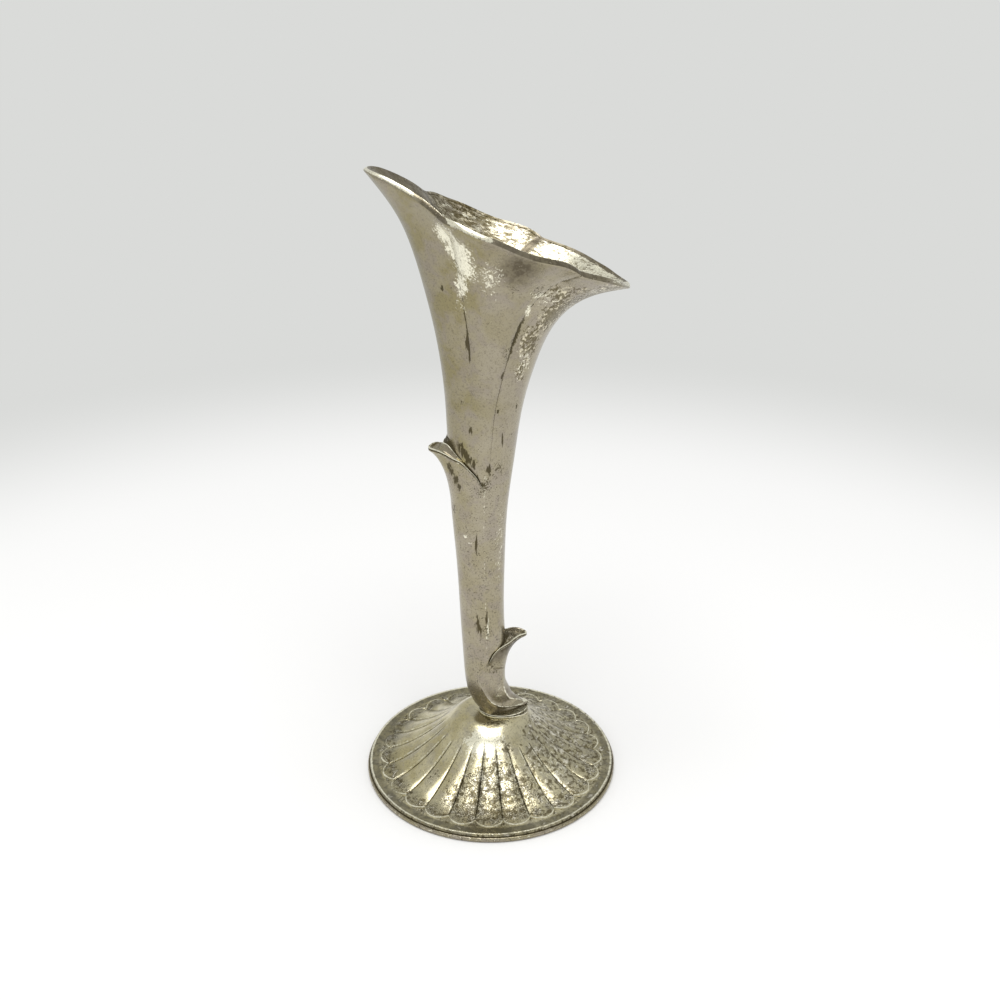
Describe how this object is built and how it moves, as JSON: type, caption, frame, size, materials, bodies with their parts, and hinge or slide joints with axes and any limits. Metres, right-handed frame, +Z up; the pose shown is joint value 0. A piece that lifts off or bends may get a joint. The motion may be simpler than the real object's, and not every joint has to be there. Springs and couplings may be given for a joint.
{
  "type": "trumpet vase",
  "caption": "Slender lily-shaped metal bud vase with a slanted petalled mouth and leaves on its stem, standing on a domed gadrooned foot.",
  "frame": {"origin": "centre of the foot, on the surface that the vase stands on", "axes": "+Z up, +X towards the mouth's low tip, so that XZ is the tube's plane of symmetry"},
  "size_m": [0.0762, 0.0762, 0.1786],
  "materials": {
    "body_plate": "satin tarnished silver plate",
    "foot_plate": "satin tarnished silver plate",
    "fixing_brass": "dull turned brass"
  },
  "bodies": {
    "root": {"rim_wire": "foot_plate", "foot_dome": "foot_plate", "stem_collar": "body_plate", "trumpet_body": "body_plate", "upper_leaf": "body_plate", "lower_leaf": "body_plate", "stem_plug": "fixing_brass", "fixing_stud": "fixing_brass", "fixing_washer": "fixing_brass", "fixing_nut": "fixing_brass"}
  },
  "joints": []
}
